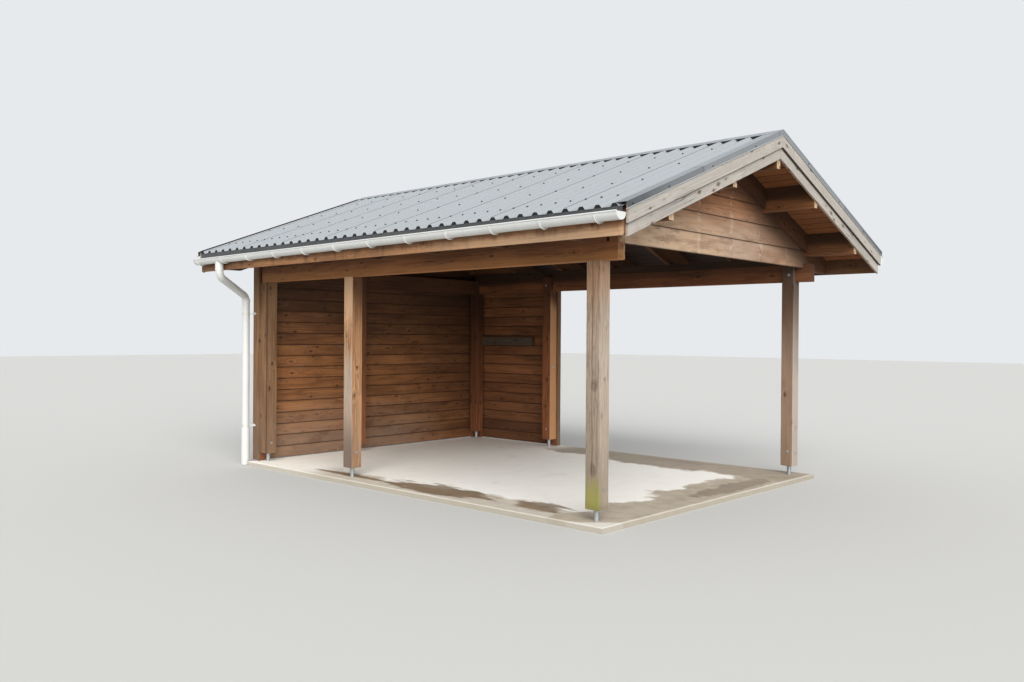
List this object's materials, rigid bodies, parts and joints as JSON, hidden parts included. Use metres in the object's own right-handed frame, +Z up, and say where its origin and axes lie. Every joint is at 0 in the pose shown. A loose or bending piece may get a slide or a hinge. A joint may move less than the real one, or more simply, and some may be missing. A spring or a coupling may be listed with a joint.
{
  "type": "carport",
  "caption": "Open timber carport: gable roof of profiled sheets on notched posts with steel feet, two clad sides, gutters and a floor slab.",
  "frame": {"origin": "middle of the roof's plan at ground level, under the floor slab", "axes": "+X along the ridge towards the open gable, +Y towards the rear side, +Z up"},
  "size_m": [6.44, 5.311, 3.6294],
  "materials": {
    "concrete": "rough cast concrete",
    "post_timber": "oiled timber with drying cracks",
    "frame_timber": "oiled timber, darker in the shade of the roof",
    "wall_boards": "oiled boards, weathered",
    "pale_boards": "weathered boards gone grey",
    "deck_boards": "planed boards",
    "sheet_metal": "coated sheet, satin",
    "flashing_metal": "coated sheet, satin",
    "dark_flashing": "coated sheet, satin",
    "white_metal": "coated metal, gloss",
    "galvanised_steel": "galvanised"
  },
  "bodies": {
    "root": {"floor_slab": "concrete", "front_near_post": "post_timber", "front_middle_post": "post_timber", "front_far_post": "post_timber", "rear_near_post": "post_timber", "rear_middle_post": "post_timber", "rear_far_post": "post_timber", "end_wall_post": "post_timber", "post_feet": "galvanised_steel", "front_beam": "frame_timber", "rear_beam": "frame_timber", "end_beam": "frame_timber", "rafter_plates": "frame_timber", "front_rafters": "frame_timber", "rear_rafters": "frame_timber", "ridge_beam": "frame_timber", "near_lookouts": "frame_timber", "far_lookouts": "frame_timber", "front_roof_deck": "deck_boards", "rear_roof_deck": "deck_boards", "roof_battens": "deck_boards", "front_roof_sheets": "sheet_metal", "rear_roof_sheets": "sheet_metal", "ridge_cap": "flashing_metal", "verge_flashings": "flashing_metal", "eave_flashings": "dark_flashing", "upper_barge_boards": "pale_boards", "lower_barge_boards": "pale_boards", "fascia_boards": "wall_boards", "front_gutter": "white_metal", "rear_gutter": "white_metal", "gutter_brackets": "white_metal", "front_downpipe": "white_metal", "rear_downpipe": "white_metal", "pipe_clips": "galvanised_steel", "end_wall_cladding": "wall_boards", "rear_wall_cladding": "wall_boards", "wall_battens": "frame_timber", "wall_trims": "wall_boards", "tool_rail": "pale_boards", "near_gable_cladding": "wall_boards", "near_gable_band": "frame_timber", "near_gable_frame": "frame_timber"}
  },
  "joints": []
}
